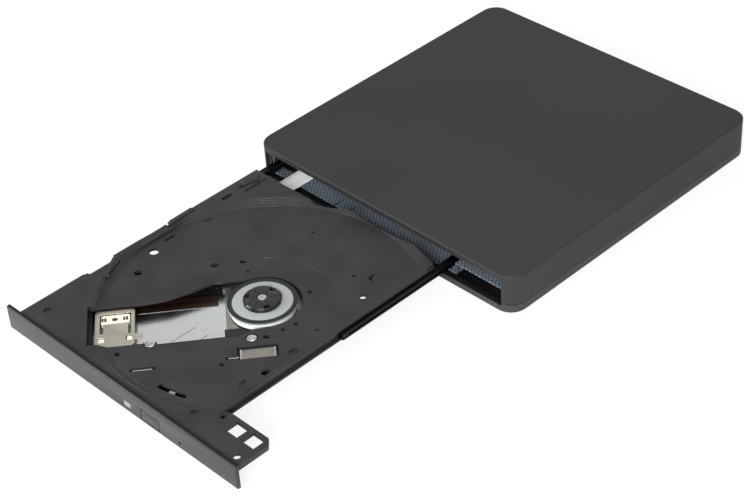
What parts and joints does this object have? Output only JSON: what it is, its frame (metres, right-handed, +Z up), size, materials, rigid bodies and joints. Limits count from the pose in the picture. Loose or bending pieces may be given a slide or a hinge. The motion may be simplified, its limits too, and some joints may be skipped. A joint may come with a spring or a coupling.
{
  "type": "external disc drive",
  "caption": "Slim external disc drive with a flat rounded case and a sliding tray that carries the disc hub and the laser pickup.",
  "frame": {"origin": "centre of the case at table height, 1.1 mm under the recess in its underside", "axes": "+Z up, -Y the way the tray comes out, +X to the right of a person who faces the front"},
  "size_m": [0.143, 0.2798, 0.0182],
  "materials": {
    "case_plastic": "satin",
    "base_plastic": "matte",
    "foot_rubber": "matte",
    "screw_steel": "satin",
    "chassis_steel": "satin",
    "guide_plastic": "matte",
    "board_laminate": "satin",
    "chip_plastic": "matte",
    "connector_plastic": "matte",
    "plated_steel": "satin",
    "ribbon_film": "satin",
    "rail_steel": "satin",
    "tray_plastic": "matte",
    "bezel_plastic": "satin",
    "lamp_plastic": "frosted",
    "bright_steel": "satin",
    "frame_plastic": "matte",
    "coil_tape": "satin",
    "amber_film": "satin",
    "rotor_plastic": "satin",
    "platter_plastic": "satin",
    "ring_rubber": "matte",
    "hub_plastic": "satin",
    "sled_metal": "satin",
    "nut_plastic": "satin",
    "cover_metal": "satin",
    "holder_plastic": "satin",
    "lens_glass": "clear"
  },
  "bodies": {
    "case": {"top_cover": "case_plastic", "bottom_cover": "base_plastic", "rubber_feet": "foot_rubber", "case_screws": "screw_steel", "drive_chassis": "chassis_steel", "drive_top_plate": "chassis_steel", "chassis_screws": "screw_steel", "left_rail_guide": "guide_plastic", "right_rail_guide": "guide_plastic", "main_board": "board_laminate", "main_board_chips": "chip_plastic", "drive_connector": "connector_plastic", "bridge_board": "board_laminate", "bridge_chips": "chip_plastic", "bridge_connector": "connector_plastic", "socket_shell": "plated_steel", "socket_tongue": "connector_plastic", "latch_post": "plated_steel", "flex_cable": "ribbon_film", "flex_connector": "connector_plastic"},
    "left_rail": {"left_rail": "rail_steel"},
    "right_rail": {"right_rail": "rail_steel"},
    "tray": {"tray": "tray_plastic", "front_bezel": "bezel_plastic", "led_lens": "lamp_plastic", "tray_shield": "bright_steel", "tray_screws": "screw_steel", "traverse_frame": "frame_plastic", "guide_rods": "bright_steel", "damper_grommets": "foot_rubber", "damper_screws": "bright_steel", "motor_plate": "plated_steel", "sled_motor": "plated_steel", "lead_screw_bracket": "frame_plastic", "tray_board": "board_laminate", "tray_board_connector": "connector_plastic", "eject_switch": "connector_plastic", "latch_pin": "plated_steel", "latch_solenoid": "coil_tape", "pickup_flex": "amber_film"},
    "turntable": {"rotor": "rotor_plastic", "disc_platter": "platter_plastic", "rubber_ring": "ring_rubber", "hub": "hub_plastic", "chuck_balls": "hub_plastic", "hub_screw": "bright_steel"},
    "sled": {"sled_base": "sled_metal", "drive_nut": "nut_plastic", "pickup_cover": "cover_metal", "lens_magnets": "plated_steel"},
    "lens": {"lens_holder": "holder_plastic", "lens": "lens_glass"},
    "lead_screw": {"lead_screw": "bright_steel"},
    "eject_button": {"eject_button": "bezel_plastic"},
    "latch_lever": {"latch_lever": "nut_plastic"}
  },
  "joints": [
    {"name": "tray_slide", "type": "slide", "parent": "case", "child": "tray", "axis": [0, 1, 0], "range_m": [0, 0.1328], "deforming": ["flex_cable"]},
    {"name": "left_rail_slide", "type": "slide", "parent": "case", "child": "left_rail", "axis": [0, 1, 0], "range_m": [0, 0.0664]},
    {"name": "right_rail_slide", "type": "slide", "parent": "case", "child": "right_rail", "axis": [0, 1, 0], "range_m": [0, 0.0664]},
    {"name": "turntable_spin", "type": "hinge", "parent": "tray", "child": "turntable", "pos_m": [0.00255, -0.1376, 0.009], "axis": [0, 0, 1], "continuous": true},
    {"name": "sled_slide", "type": "slide", "parent": "tray", "child": "sled", "axis": [0.6334, 0.7738, 0], "range_m": [0, 0.033]},
    {"name": "lead_screw_spin", "type": "hinge", "parent": "tray", "child": "lead_screw", "pos_m": [0.00715, -0.18013, 0.0081], "axis": [-0.6334, -0.7738, 0], "range_deg": [0, 3960]},
    {"name": "lens_focus", "type": "slide", "parent": "sled", "child": "lens", "axis": [0, 0, 1], "range_m": [-0.0004, 0.0004], "stiffness_N_per_m": 60},
    {"name": "eject_button_press", "type": "slide", "parent": "tray", "child": "eject_button", "axis": [0, 1, 0], "range_m": [0, 0.0006], "stiffness_N_per_m": 800},
    {"name": "latch_lever_turn", "type": "hinge", "parent": "tray", "child": "latch_lever", "pos_m": [0.0276, -0.1975, 0.0074], "axis": [0, 0, -1], "range_deg": [0, 18]}
  ],
  "couplings": [
    {"joint": "left_rail_slide", "follows": "tray_slide", "ratio": 0.5},
    {"joint": "right_rail_slide", "follows": "tray_slide", "ratio": 0.5},
    {"joint": "lead_screw_spin", "follows": "sled_slide", "rad_per_m": 2094.4}
  ]
}
